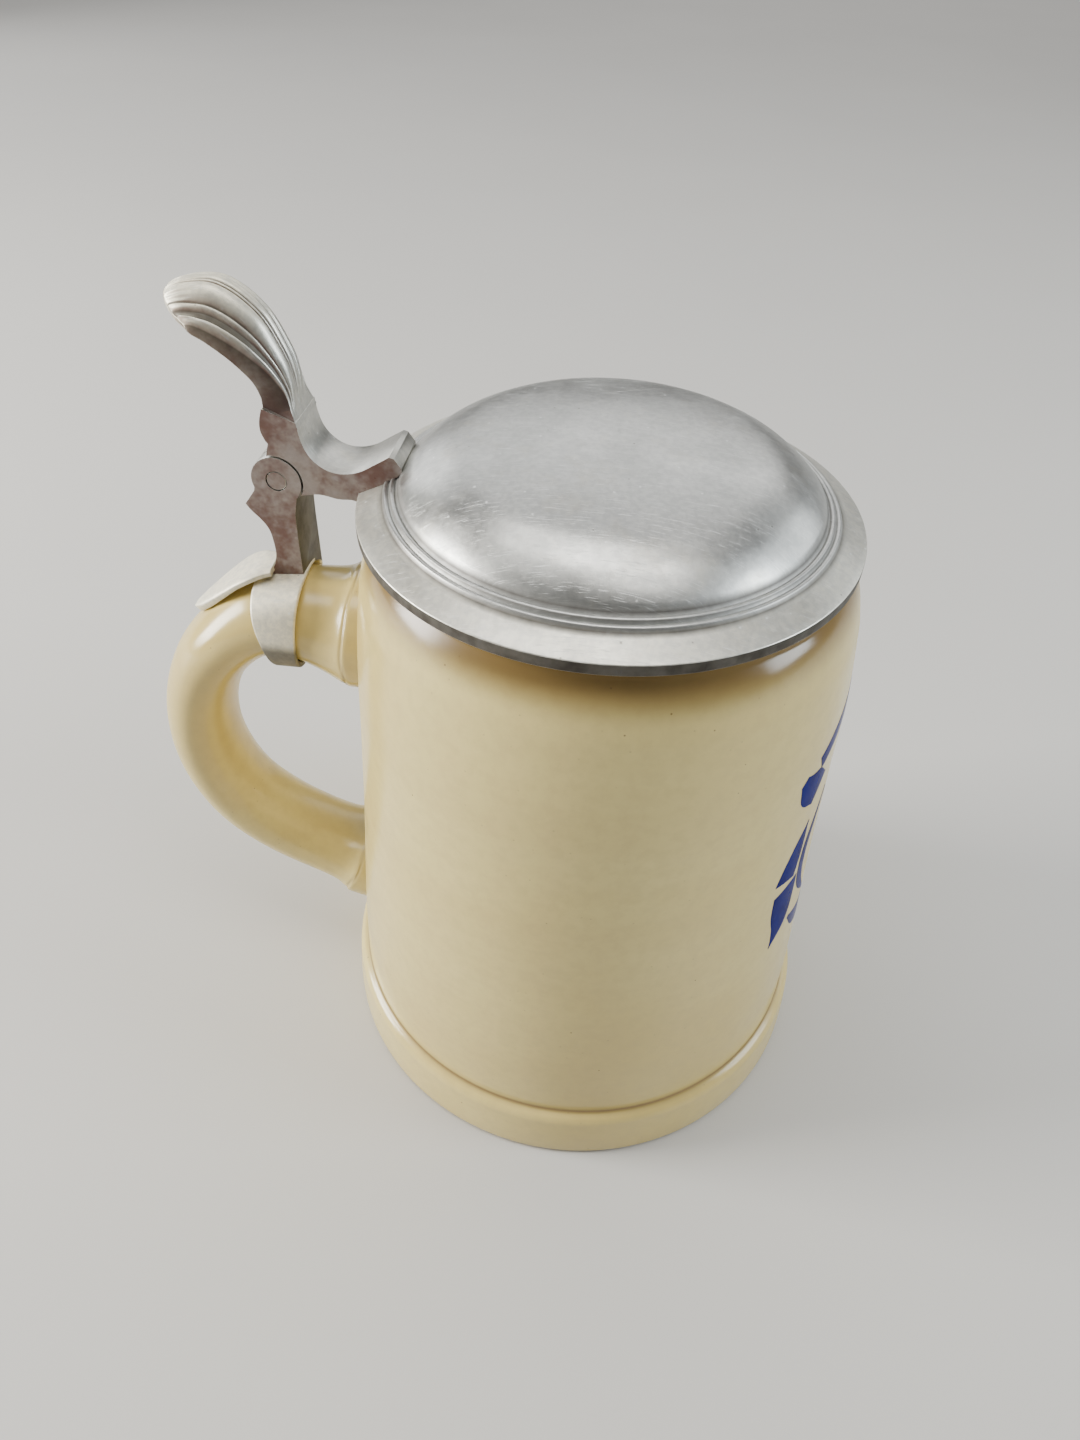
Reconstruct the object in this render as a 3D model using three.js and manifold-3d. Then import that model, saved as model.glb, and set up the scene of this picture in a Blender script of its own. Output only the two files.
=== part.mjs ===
// A half-litre stoneware beer stein with a hinged pewter lid.
// Millimetres, +Z up.  The origin is the centre of the underside, the hinge and the
// thumblift lie towards -X, and the decorated side of the wall faces +X.
import * as THREE from 'three';
import { mergeVertices } from 'three/addons/utils/BufferGeometryUtils.js';
import Module from 'manifold-3d';

const wasm = await Module();
wasm.setup();

// ---------------------------------------------------------------- driving dimensions

const GAP = 0.3;                 // space left between pieces that rest on each other

// stoneware body
const FOOT_R = 50.9;             // radius of the foot band, the widest part of the body
const FOOT_R_TOP = 50.4;
const FOOT_H = 13.4;             // height at which the foot band ends
const FOOT_ROUND = 1.6;          // rounding of the band's lower edge
const FOOT_SHOULDER = 2.6;       // rounding of its upper edge
const FLOOR_Z = 8.0;             // top of the floor inside
const FLOOR_FILLET = 7.0;        // rounding between the floor and the wall inside
const WALL = 5.0;                // wall thickness below the shoulder
const WALL_OUT = [[48.4, 14.6], [47.7, 31], [46.0, 56], [44.7, 80], [43.9, 97], [42.4, 110.5]];
const SHOULDER_OUT = [[41.4, 114.6], [40.2, 117.6], [38.8, 119.8]];
const RIM_Z = 121.7;             // top of the drinking rim
const RIM_R_OUT = 37.6;
const RIM_R_IN = 34.3;
const BODY_SIDES = 56;

// stoneware handle, an oval bar along a curve of [distance from the axis, height] points
const HANDLE_YAW = THREE.MathUtils.degToRad(3.5); // the handle sits slightly askew of the hinge
const HANDLE_A = [7.9, 6.5];     // half thickness at the top and from the grip down
const HANDLE_THINS = [0.1, 0.3]; // where along its length it thins from the one to the other
const HANDLE_B = 9.1;            // half width across it
const HANDLE_CURVE = [
  [38, 95.4], [46, 96.0], [54, 97.3], [61, 97.0], [67.8, 92.6], [74.3, 84.6],
  [78.1, 73.6], [78.2, 61.3], [74.0, 49.6], [66.2, 41.2], [55.5, 34.8], [43, 29.5]];
const ROOT_FLARES = [3.4, 2.0];  // how far the upper and the lower root spread at the wall
const ROOT_FADES = [5.0, 2.2];   // distances over which the flares die away
const ROOT_LENGTH = 7;           // length of the curve's ends that lie inside the wall
const HANDLE_SIDES = 20;
const HANDLE_STEPS = 32;

// pewter lid, turned about its own axis
const LID_X = -0.84;             // the lid's axis lies a little towards the hinge
const LID_R = 41.0;
const LID_UNDER_Z = RIM_Z + GAP; // the flange rests on the rim
const LID_EDGE_Z = 124.1;        // top edge of the flange
const BEADS = [[36.6, 126.2], [36.2, 127.0], [35.5, 126.8], [35.1, 127.5], [34.4, 127.4]];
const DOME = [[33.8, 128.3], [31.8, 130.3], [28.6, 132.6], [23.5, 134.7], [13, 136.1], [0, 136.6]];
const LID_WALL = 1.8;
const SPIGOT_R = 33.5;           // locating ring that drops inside the rim
const SPIGOT_WALL = 1.6;
const SPIGOT_Z = RIM_Z - 2.4;
const LID_SIDES = 56;

// hinge
const PIN_X = -55.3;
const PIN_Z = 124.6;
const HINGE_HALF = 4.8;          // half the width of the tang, of the hinge and of the post
const EAR_R = 4.2;
const POCKET_R = 4.55;           // clearance cut round the ears and round the knuckle
const KNUCKLE_HALF = 1.7;        // half the width of the lid's knuckle, between the two ears
const SLOT_HALF = 1.95;          // half the width of the slot that it turns in
const PIN_R = 1.5;
const BORE_R = 1.58;
const PIN_HALF = 3.3;
const PLUG_R = 1.65;             // pewter plugs close the ends of the bore
const PLUG_BORE_R = 1.9;
const PLUG_START = PIN_HALF + GAP;
const HINGE_SIDES = 32;

// side outlines, as [distance from the axis, height]
const LIFT_SEAT = [[50.4, 134.5], [55.8, 136.4]]; // sloping top of the tang
const TANG = [
  [34.1, 129.2], [35.2, 130.8], [36.0, 131.0], [38.2, 129.6], [41.0, 127.9], [43.7, 127.2],
  [46.0, 127.4], [48.0, 128.5], [49.4, 130.2], [50.2, 132.4], LIFT_SEAT[0], LIFT_SEAT[1],
  [56.5, 135.0], [56.6, 133.3], [56.1, 131.8], [55.7, 131.2], [56.3, 129.0], [PIN_X * -1, PIN_Z],
  [51.4, 122.4], [48.2, 123.0], [45.0, 122.5], [42.6, 122.6], [40.5, 121.8], [34.1, 125]];
const POST = [
  [53.0, 95], [53.0, 114], [52.9, 118.5], [52.3, 121.4], [52.3, PIN_Z], [58.9, PIN_Z],
  [59.4, 122.4], [61.3, 119.8], [60.4, 118.5], [59.0, 117.0], [57.9, 115.2], [57.5, 113],
  [57.4, 110.5], [57.9, 108.3], [58.6, 107], [58.6, 95]];

// strap round the handle and its leaf-shaped tail
const STRAP_U = 56.8;            // distance of the strap's middle from the body's axis
const STRAP_W = 6.4;
const STRAP_T = 1.0;
const STRAP_SQUARE = 2.5;        // exponent of the strap's section: 2 is an oval, more is squarer
// middle line of the tail's top, as [distance from the axis, height]
const TAIL_TOP = [
  [59.5, 108.1], [61.6, 107.6], [64.8, 106.0], [68.2, 103.4], [71.6, 100.5], [74.8, 97.7]];
const TAIL_HALF = [3.4, 4.7, 4.75, 4.1, 3.2, 2.0]; // half widths at even steps along it
const TAIL_T = [1.0, 1.1, 1.2, 1.4, 1.5, 1.4];     // thicknesses at the same steps
const TAIL_CROWN = 0.4;          // how far its sides lie below its middle
const TAIL_SEGMENTS = 10;

// thumblift, a fluted shell that starts on top of the tang and bends away from the lid;
// its numbers are at even steps from the bottom to the end
const LIFT_EDGE = [
  [50.4, 134.2], [51.3, 137.0], [52.4, 140.2], [54.3, 143.3], [57.6, 146.4], [61.5, 148.8],
  [64.9, 150.0]];
const LIFT_HALF = [4.5, 4.0, 4.8, 5.6, 6.1, 6.2]; // half widths
const LIFT_WALL = [5.4, 4.3, 3.1, 2.4, 1.8, 1.3]; // thicknesses at the edges
const LIFT_CROWN = [0, 0.6, 2.2, 4.5, 5.1, 2.4];  // bulge above the edges
const LIFT_END = 5.2;            // how far its rounded end reaches beyond its corners
const LIFT_STEPS = 16;
// flutes, as [middle, half width, height], on a shell that is 1 wide each way
const FLUTES = [[0, 0.17, 0.6], [0.225, 0.04, 0.35], [0.485, 0.21, 0.6], [0.765, 0.045, 0.35],
  [0.945, 0.055, 0.35]];

// ---------------------------------------------------------------- materials

const STONEWARE = { color: 0xcfc5a6, roughness: 0.28, metalness: 0 };
const PEWTER = { color: 0xa9adad, roughness: 0.38, metalness: 1 };
const WIRE = { color: 0x8f8f8c, roughness: 0.3, metalness: 1 };

// ---------------------------------------------------------------- helpers

const { lerp, smoothstep } = THREE.MathUtils;
const stein = new THREE.Group();
const handleGroup = new THREE.Group();
handleGroup.rotation.z = HANDLE_YAW;
stein.add(handleGroup);

function addPart(name, geometry, look, parent = stein) {
  const mesh = new THREE.Mesh(geometry, new THREE.MeshStandardMaterial(look));
  mesh.name = name;
  parent.add(mesh);
  return mesh;
}

function toSolid(geometry) {
  const bare = geometry.clone();
  bare.deleteAttribute('normal');
  bare.deleteAttribute('uv');
  const merged = mergeVertices(bare, 1e-4);
  const vertProperties = new Float32Array(merged.attributes.position.array);
  const triVerts = new Uint32Array(merged.index.array);
  return new wasm.Manifold(new wasm.Mesh({ numProp: 3, vertProperties, triVerts }));
}

function toGeometry(solid) {
  const mesh = solid.getMesh();
  const geometry = new THREE.BufferGeometry();
  geometry.setAttribute('position', new THREE.BufferAttribute(mesh.vertProperties, 3));
  geometry.setIndex(new THREE.BufferAttribute(mesh.triVerts, 1));
  return geometry;
}

// Turns an outline of [radius, height] pairs about the Z axis.
function turned(points, sides) {
  const profile = points.map(([r, z]) => new THREE.Vector2(r, z));
  return new THREE.LatheGeometry(profile, sides).rotateX(Math.PI / 2);
}

function curveThrough(points) {
  return new THREE.SplineCurve(points.map(([a, b]) => new THREE.Vector2(a, b)));
}

// Points on a smooth curve through the given [a, b] pairs, ends included.
function smooth(points, count) {
  return curveThrough(points).getPoints(count).map((p) => [p.x, p.y]);
}

// The value at t, from 0 to 1, of numbers given at even steps.
function evenly(numbers, t) {
  return curveThrough(numbers.map((value, i) => [i, value])).getPoint(t).y;
}

// Points on an arc about [a, b], from one angle in degrees to another, ends included.
function arc(a, b, radius, from, to, count) {
  return Array.from({ length: count + 1 }, (_, i) => {
    const angle = THREE.MathUtils.degToRad(lerp(from, to, i / count));
    return [a + radius * Math.cos(angle), b + radius * Math.sin(angle)];
  });
}

// An upright plate with a side outline of [distance from the axis, height] pairs, centred
// on the plane of the hinge.
function plate(points, halfWidth) {
  const shape = new THREE.Shape(points.map(([u, z]) => new THREE.Vector2(-u, z)));
  const geometry = new THREE.ExtrudeGeometry(shape, { depth: 2 * halfWidth, bevelEnabled: false });
  return toSolid(geometry.rotateX(Math.PI / 2).translate(0, halfWidth, 0));
}

// A round bar on the axis of the hinge pin.
function crossBar(radius, y0, y1) {
  const bar = new THREE.CylinderGeometry(radius, radius, y1 - y0, HINGE_SIDES);
  return bar.translate(PIN_X, (y0 + y1) / 2, PIN_Z);
}

// Sweeps an outline along t from 0 to 1; place(x, y, t) says where each of its points goes.
function swept(outline, steps, place) {
  const shape = new THREE.Shape(outline.map(([x, y]) => new THREE.Vector2(x, y)));
  const geometry = new THREE.ExtrudeGeometry(shape, { depth: 1, steps, bevelEnabled: false });
  const position = geometry.attributes.position;
  for (let i = 0; i < position.count; i += 1) {
    const p = place(position.getX(i), position.getY(i), position.getZ(i));
    position.setXYZ(i, p.x, p.y, p.z);
  }
  return geometry;
}

// ---------------------------------------------------------------- stoneware body

function wallOutside() {
  return [...smooth(WALL_OUT, 9), ...SHOULDER_OUT];
}

function bodyOutline() {
  const foot = [
    [0, 0], [FOOT_R - FOOT_ROUND - 1, 0],
    ...arc(FOOT_R - FOOT_ROUND, FOOT_ROUND, FOOT_ROUND, -70, 0, 3),
    ...arc(FOOT_R_TOP - FOOT_SHOULDER, FOOT_H - FOOT_SHOULDER, FOOT_SHOULDER, 0, 80, 4)];
  const rim = [
    [RIM_R_OUT, RIM_Z - 0.3], [RIM_R_OUT - 0.8, RIM_Z], [RIM_R_IN + 0.9, RIM_Z],
    [RIM_R_IN + 0.2, RIM_Z - 0.6], [RIM_R_IN, RIM_Z - 3], [RIM_R_IN + 1, RIM_Z - 7.5]];
  const inside = smooth(WALL_OUT, 6).filter(([, z]) => z > 20 && z < RIM_Z - 10)
    .map(([r, z]) => [r - WALL, z]).reverse();
  const [floorR] = inside[inside.length - 1];
  const floor = arc(floorR - FLOOR_FILLET, FLOOR_Z + FLOOR_FILLET, FLOOR_FILLET, 0, -90, 4);
  return [...foot, ...wallOutside(), ...rim, ...inside, ...floor, [0, FLOOR_Z]];
}

// The outside of the body grown by the gap, to cut what is joined to it.
function bodyCutter() {
  const grown = wallOutside().map(([r, z]) => [r + GAP, z]);
  const foot = [[0, 0], [FOOT_R + GAP, 0], [FOOT_R + GAP, FOOT_H - 2]];
  return toSolid(turned([...foot, ...grown, [0, RIM_Z]], 2 * BODY_SIDES));
}

// ---------------------------------------------------------------- handle and strap

const handleCurve = curveThrough(HANDLE_CURVE);
const handleLength = handleCurve.getLength();

// How far round the handle, from 0 to 1, its upper run first reaches the distance u.
function alongAt(u) {
  let t = 0;
  while (handleCurve.getPointAt(t).x < u) t += 0.001;
  return t;
}

function halfThickness(t) {
  return lerp(HANDLE_A[0], HANDLE_A[1], smoothstep(t, HANDLE_THINS[0], HANDLE_THINS[1]));
}

function rootFlare(t) {
  const root = t < 0.5 ? 0 : 1;
  const fromWall = Math.min(t, 1 - t) * handleLength - ROOT_LENGTH;
  return ROOT_FLARES[root] * Math.exp(-Math.max(fromWall, 0) / ROOT_FADES[root]);
}

// A point on the handle's oval section at t, whose half sizes are enlarged by grow.
function onHandle(across, out, t, grow) {
  const centre = handleCurve.getPointAt(t);
  const along = handleCurve.getTangentAt(t);
  const size = grow + rootFlare(t);
  const rise = out * (halfThickness(t) + size);
  return new THREE.Vector3(
    -(centre.x - along.y * rise), -across * (HANDLE_B + size), centre.y + along.x * rise);
}

function handleSweep(grow, steps, from, to, exponent = 2) {
  const squarer = (x) => Math.sign(x) * Math.abs(x) ** (2 / exponent);
  const oval = arc(0, 0, 1, 0, 360 - 360 / HANDLE_SIDES, HANDLE_SIDES - 1)
    .map((point) => point.map(squarer));
  return toSolid(swept(oval, steps, (x, y, t) => onHandle(x, y, lerp(from, to, t), grow)));
}

function handle() {
  return toGeometry(handleSweep(0, HANDLE_STEPS, 0, 1).subtract(bodyCutter()));
}

const strapMiddle = alongAt(STRAP_U);
const strapHalf = STRAP_W / 2 / handleLength;

function strapBlock(grow, half = strapHalf, exponent = 2) {
  return handleSweep(grow, 12, strapMiddle - half, strapMiddle + half, exponent);
}

function strap() {
  const band = strapBlock(GAP + STRAP_T, strapHalf, STRAP_SQUARE);
  return toGeometry(band.subtract(strapBlock(GAP, 2 * strapHalf)));
}

// The tail's outline is 2 wide and 1 thick before it is laid along its curve.
function strapTail() {
  const span = Array.from({ length: TAIL_SEGMENTS + 1 }, (_, i) => lerp(-1, 1, i / TAIL_SEGMENTS));
  const outline = [...span.map((x) => [x, -1]), ...span.map((x) => [-x, 0])];
  const curve = curveThrough(TAIL_TOP);
  return swept(outline, 14, (x, y, t) => {
    const top = curve.getPointAt(t);
    const along = curve.getTangentAt(t);
    const rise = y * evenly(TAIL_T, t) - TAIL_CROWN * x * x;
    return new THREE.Vector3(
      -(top.x - along.y * rise), -x * evenly(TAIL_HALF, t), top.y + along.x * rise);
  });
}

// ---------------------------------------------------------------- lid

function lidOutside(grow) {
  const flange = [
    [LID_R - 0.3, LID_UNDER_Z], [LID_R, LID_UNDER_Z + 0.3], [LID_R, LID_EDGE_Z - 0.2],
    [LID_R - 0.3, LID_EDGE_Z]];
  const outside = [...flange, ...BEADS, ...smooth(DOME, 10)];
  return outside.map(([r, z]) => [r > 0 ? r + grow : 0, z + grow]);
}

function lid() {
  const inside = smooth(DOME, 6).map(([r, z]) => [Math.max(r - 1.2, 0), z - LID_WALL]).reverse();
  const spigotIn = SPIGOT_R - SPIGOT_WALL;
  const spigot = [
    [spigotIn, LID_UNDER_Z + 2], [spigotIn, SPIGOT_Z], [SPIGOT_R - 0.4, SPIGOT_Z],
    [SPIGOT_R, SPIGOT_Z + 0.5], [SPIGOT_R, LID_UNDER_Z]];
  return turned([...inside, ...spigot, ...lidOutside(0)], LID_SIDES);
}

function lidCutter() {
  const below = [[0, LID_UNDER_Z - 2], [LID_R + GAP, LID_UNDER_Z - 2]];
  return toSolid(turned([...below, ...lidOutside(GAP)], 2 * LID_SIDES).translate(LID_X, 0, 0));
}

// ---------------------------------------------------------------- hinge

function pair(radius, y0, y1) {
  return toSolid(crossBar(radius, y0, y1)).add(toSolid(crossBar(radius, -y1, -y0)));
}

// The bridge from the flange to the thumblift, with the knuckle that turns on the pin.
function tang() {
  const beyond = HINGE_HALF + 1;
  const knuckle = toSolid(crossBar(EAR_R, -KNUCKLE_HALF, KNUCKLE_HALF));
  const bore = toSolid(crossBar(BORE_R, -beyond, beyond));
  const web = plate(TANG, HINGE_HALF).subtract(pair(POCKET_R, KNUCKLE_HALF, beyond));
  return toGeometry(web.add(knuckle).subtract(bore).subtract(lidCutter()));
}

// The post on the strap, with one ear on each side of the knuckle.
function post() {
  const beyond = HINGE_HALF + 1;
  const ears = toSolid(crossBar(EAR_R, -HINGE_HALF, HINGE_HALF));
  const slot = toSolid(crossBar(POCKET_R, -SLOT_HALF, SLOT_HALF));
  const bore = toSolid(crossBar(BORE_R, -beyond, beyond));
  const seats = pair(PLUG_BORE_R, PIN_HALF + GAP / 2, beyond);
  const turn = [0, 0, THREE.MathUtils.radToDeg(HANDLE_YAW)];
  const strapCutter = strapBlock(2 * GAP + STRAP_T, 3 * strapHalf, STRAP_SQUARE);
  return toGeometry(plate(POST, HINGE_HALF).add(ears).subtract(slot).subtract(bore)
    .subtract(seats).subtract(strapCutter.rotate(turn)));
}

// ---------------------------------------------------------------- thumblift

const liftCurve = curveThrough(LIFT_EDGE);

// Height of the shell's front above its edges, s being -1 and 1 at the two edges.
function liftFront(s, t) {
  const heights = FLUTES.map(([middle, half, height]) => {
    const off = (Math.abs(s) - middle) / half;
    return height * Math.sqrt(Math.max(1 - off * off, 0));
  });
  const dome = evenly(LIFT_CROWN, t) * (1 - Math.abs(s) ** 2.4);
  return dome + Math.max(...heights) * smoothstep(t, 0.05, 0.35);
}

// What lies under the sloping seat and the gap on top of it.
function seatCutter() {
  const [[u0, z0], [u1, z1]] = LIFT_SEAT;
  const slope = (z1 - z0) / (u1 - u0);
  const top = [-10, 10].map((du) => [u0 + du, z0 + slope * du + GAP]);
  return plate([[u0 + 10, z0 - 10], ...top.reverse(), [u0 - 10, z0 - 10]], 2 * HINGE_HALF);
}

function thumblift() {
  const across = FLUTES.flatMap(([middle, half]) => [-1, -0.6, 0, 0.6].map((k) => middle + k * half))
    .filter((s) => s >= 0);
  const front = [...across, 1].map((s) => [s, 1]).reverse();
  const mirrored = across.slice(1).map((s) => [-s, 1]);
  const back = Array.from({ length: 9 }, (_, i) => [i / 4 - 1, 0]);
  const shell = swept([...back, ...front, ...mirrored, [-1, 1]], LIFT_STEPS, (s, side, t) => {
    const edge = liftCurve.getPointAt(t);
    const along = liftCurve.getTangentAt(t);
    const hollow = 0.4 * liftFront(s, t) * smoothstep(t, 0.1, 0.6);
    const rise = side > 0 ? liftFront(s, t) : hollow - evenly(LIFT_WALL, t);
    const reach = LIFT_END * (1 - s * s) * t * t;
    return new THREE.Vector3(
      -(edge.x - along.y * rise + along.x * reach), -s * evenly(LIFT_HALF, t),
      edge.y + along.x * rise + along.y * reach);
  });
  return toGeometry(toSolid(shell).subtract(seatCutter()));
}

// ---------------------------------------------------------------- assembly

addPart('stoneware_body', turned(bodyOutline(), BODY_SIDES), STONEWARE);
addPart('handle', handle(), STONEWARE, handleGroup);
addPart('handle_strap', strap(), PEWTER, handleGroup);
addPart('strap_tail', strapTail(), PEWTER, handleGroup);
addPart('hinge_post', post(), PEWTER);
addPart('hinge_pin', crossBar(PIN_R, -PIN_HALF, PIN_HALF), WIRE);
addPart('pin_plug_front', crossBar(PLUG_R, -HINGE_HALF, -PLUG_START), PEWTER);
addPart('pin_plug_back', crossBar(PLUG_R, PLUG_START, HINGE_HALF), PEWTER);
addPart('lid', lid(), PEWTER).position.x = LID_X;
addPart('lid_tang', tang(), PEWTER);
addPart('thumblift', thumblift(), PEWTER);

export default stein;
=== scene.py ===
"""Looks of the beer stein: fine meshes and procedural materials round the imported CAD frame."""
import math

import bmesh
import bpy
import numpy as np
from mathutils import Matrix, Vector

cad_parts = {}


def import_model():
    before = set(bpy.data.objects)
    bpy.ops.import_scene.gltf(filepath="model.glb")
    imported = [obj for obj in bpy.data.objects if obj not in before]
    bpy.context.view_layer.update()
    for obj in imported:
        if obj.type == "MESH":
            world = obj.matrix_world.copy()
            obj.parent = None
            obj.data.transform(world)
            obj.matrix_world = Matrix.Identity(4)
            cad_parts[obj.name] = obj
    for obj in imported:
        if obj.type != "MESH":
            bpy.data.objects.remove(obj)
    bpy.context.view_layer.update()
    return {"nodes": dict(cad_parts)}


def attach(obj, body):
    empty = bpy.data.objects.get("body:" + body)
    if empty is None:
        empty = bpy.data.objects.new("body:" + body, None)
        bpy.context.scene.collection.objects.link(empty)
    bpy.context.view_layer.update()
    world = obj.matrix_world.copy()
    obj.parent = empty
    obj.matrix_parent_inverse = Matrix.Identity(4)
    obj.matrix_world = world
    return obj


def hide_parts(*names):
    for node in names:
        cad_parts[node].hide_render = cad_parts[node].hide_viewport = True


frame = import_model()

MM = 0.001

# ------------------------------------------------------------------ dimensions, in mm
#
# Points are (distance from the body's axis, height); those of the handle and hinge run out on the
# handle's side. They repeat the CAD's dimensions, apart from the strap's sag and squareness, the
# leaf's root and the seat of the thumblift, which differ by up to 1 mm.

GAP = 0.3
FOOT_R, FOOT_R_TOP, FOOT_H, FOOT_ROUND, FOOT_SHOULDER = 50.9, 50.4, 13.4, 1.6, 2.6
FLOOR_Z, FLOOR_FILLET, WALL = 8.0, 7.0, 5.0
WALL_OUT = [(48.4, 14.6), (47.7, 31), (46.0, 56), (44.7, 80), (43.9, 97), (42.4, 110.5)]
SHOULDER_OUT = [(41.4, 114.6), (40.2, 117.6), (38.8, 119.8)]
RIM_Z, RIM_R_OUT, RIM_R_IN = 121.7, 37.6, 34.3
HANDLE_YAW = math.radians(3.5)
HANDLE_A, HANDLE_THINS, HANDLE_B = (7.9, 6.5), (0.1, 0.3), 9.1
HANDLE_CURVE = [
    (38, 95.4), (46, 96.0), (54, 97.3), (61, 97.0), (67.8, 92.6), (74.3, 84.6),
    (78.1, 73.6), (78.2, 61.3), (74.0, 49.6), (66.2, 41.2), (55.5, 34.8), (43, 29.5)]
ROOT_FLARES, ROOT_FADES, ROOT_LENGTH = (3.4, 2.0), (5.0, 2.2), 7
CREASE_AT, CREASE_DEPTH = 0.2, 0.22
STRAP_U, STRAP_W, STRAP_T = 56.8, 6.4, 1.0
STRAP_SQUARE, STRAP_SAG = (2.7, 2.1), 0.9
STRAP_DARKER_Z = (98.5, 95.5)
LEAF_CURVE = [
    (58.6, 108.2), (61.6, 107.6), (64.8, 106.0), (68.2, 103.4), (71.6, 100.5), (74.8, 97.7)]
LEAF_HALF = (3.4, 4.7, 4.75, 4.1, 3.2, 2.0)
LEAF_T = (1.0, 1.1, 1.2, 1.4, 1.5, 1.4)
LID_X, LID_R, LID_UNDER_Z, LID_EDGE_Z = -0.84, 41.0, RIM_Z + GAP, 124.1
LID_GROOVES = [(36.65, 0.22), (35.45, 0.16), (34.2, 0.34)]
BEADS = [(36.6, 126.2), (36.2, 127.0), (35.5, 126.8), (35.1, 127.5), (34.4, 127.4)]
DOME = [(33.8, 128.3), (31.8, 130.3), (28.6, 132.6), (23.5, 134.7), (13, 136.1), (0, 136.6)]
LID_WALL, SPIGOT_R, SPIGOT_WALL, SPIGOT_Z = 1.8, 33.5, 1.6, RIM_Z - 2.4
PIN_X, PIN_Z = -55.3, 124.6
HINGE_HALF, EAR_R, POCKET_R = 4.8, 4.2, 4.55
KNUCKLE_HALF, SLOT_HALF, BORE_R, PIN_HALF = 1.7, 1.95, 1.58, 3.3
PLUG_R = 1.65
LIFT_SEAT = [(50.6, 135.2), (55.9, 137.0)]
LIFT_EDGE = [
    (50.4, 134.2), (51.3, 137.0), (52.4, 140.2), (54.3, 143.3),
    (57.6, 146.4), (61.5, 148.8), (64.9, 150.0)]
LIFT_HALF = (4.83, 4.0, 4.8, 5.6, 6.1, 6.2)
LIFT_WALL = (5.6, 4.3, 3.1, 2.4, 1.8, 1.3)
LIFT_CROWN = (0, 0.6, 2.2, 4.5, 5.1, 2.4)
LIFT_END, LIFT_ROUNDS = 5.2, 0.93
BODY_SIDES, LID_SIDES = 320, 288
POST_BEVEL, TANG_BEVEL, PLUG_BEVEL = 0.22, 0.28, 0.15
BEVEL_STEPS, BEVEL_ANGLE, SHARP_ANGLE = 3, 32, 38

# ------------------------------------------------------------------ small maths


def lerp(a, b, t):
    return a + (b - a) * t


def smoothstep(x, low, high):
    t = np.clip((x - low) / (high - low), 0, 1)
    return t * t * (3 - 2 * t)


def catmull(points, t):
    """Uniform Catmull-Rom curve through the points, t from 0 to 1."""
    pts = np.asarray(points, float)
    n = len(pts)
    p = (n - 1) * np.asarray(t, float)
    i = np.clip(np.floor(p).astype(int), 0, n - 2)
    w = (p - i)[..., None]
    p0, p1 = pts[np.maximum(i - 1, 0)], pts[i]
    p2, p3 = pts[i + 1], pts[np.minimum(i + 2, n - 1)]
    v0, v1 = (p2 - p0) / 2, (p3 - p1) / 2
    cubic, square = 2 * p1 - 2 * p2 + v0 + v1, -3 * p1 + 3 * p2 - 2 * v0 - v1
    return cubic * w**3 + square * w**2 + v0 * w + p1


def evenly(numbers, t):
    """The value at t of numbers given at even steps from 0 to 1."""
    return catmull(np.asarray(numbers, float)[:, None], t)[..., 0]


class Curve:
    """A curve through points, read by its share of the length."""

    def __init__(self, points, fine=4000):
        self.dense = catmull(points, np.linspace(0, 1, fine))
        steps = np.linalg.norm(np.diff(self.dense, axis=0), axis=1)
        self.run = np.concatenate([[0], np.cumsum(steps)])
        self.length = self.run[-1]

    def at(self, t):
        s = np.asarray(t, float) * self.length
        return np.stack([np.interp(s, self.run, self.dense[:, k]) for k in (0, 1)], -1)

    def along(self, t):
        e = 0.002
        d = self.at(np.minimum(np.asarray(t) + e, 1)) - self.at(np.maximum(np.asarray(t) - e, 0))
        return d / np.linalg.norm(d, axis=-1, keepdims=True)


def smooth(points, step):
    """Points about step mm apart on the curve through the given ones."""
    curve = Curve(points)
    count = max(2, int(round(curve.length / step)))
    return [tuple(p) for p in curve.at(np.linspace(0, 1, count + 1))]


def arc(a, b, radius, start, end, count):
    """Points on an arc round (a, b), between two angles in degrees."""
    angles = np.radians(np.linspace(start, end, count + 1))
    return [(a + radius * math.cos(x), b + radius * math.sin(x)) for x in angles]


# ------------------------------------------------------------------ mesh helpers


def new_object(name, mesh, sharp=SHARP_ANGLE):
    obj = bpy.data.objects.new(name, mesh)
    bpy.context.scene.collection.objects.link(obj)
    finish_shading(mesh, sharp)
    return obj


def finish_shading(mesh, sharp):
    mesh.shade_smooth()
    mesh.set_sharp_from_angle(angle=math.radians(sharp))


def mesh_from(name, points, faces, **marks):
    """A closed mesh from points in mm, merged where they coincide, with its faces out.

    marks are numbers from 0 to 1 at the points, which the materials read: the darkening mark gives
    dirt deep in a groove and painted shade, and the dulling mark how dull the surface is there and how
    much painted cream reflection it carries."""
    mesh = bpy.data.meshes.new(name)
    mesh.from_pydata([tuple(p) for p in np.asarray(points, float) * MM], [], faces)
    for mark, values in marks.items():
        mesh.attributes.new(mark, "FLOAT", "POINT").data.foreach_set("value", np.ravel(values))
    bm = bmesh.new()
    bm.from_mesh(mesh)
    bmesh.ops.remove_doubles(bm, verts=bm.verts, dist=1e-7)
    bmesh.ops.recalc_face_normals(bm, faces=bm.faces)
    bm.to_mesh(mesh)
    bm.free()
    return mesh


def grid_faces(rows, cols, close_rows=False):
    """Faces between rings of points; close_rows also joins the last ring to the first."""
    faces = []
    for i in range(rows if close_rows else rows - 1):
        for j in range(cols):
            a, b = i * cols, ((i + 1) % rows) * cols
            k = (j + 1) % cols
            faces.append((a + j, a + k, b + k, b + j))
    return faces


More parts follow.
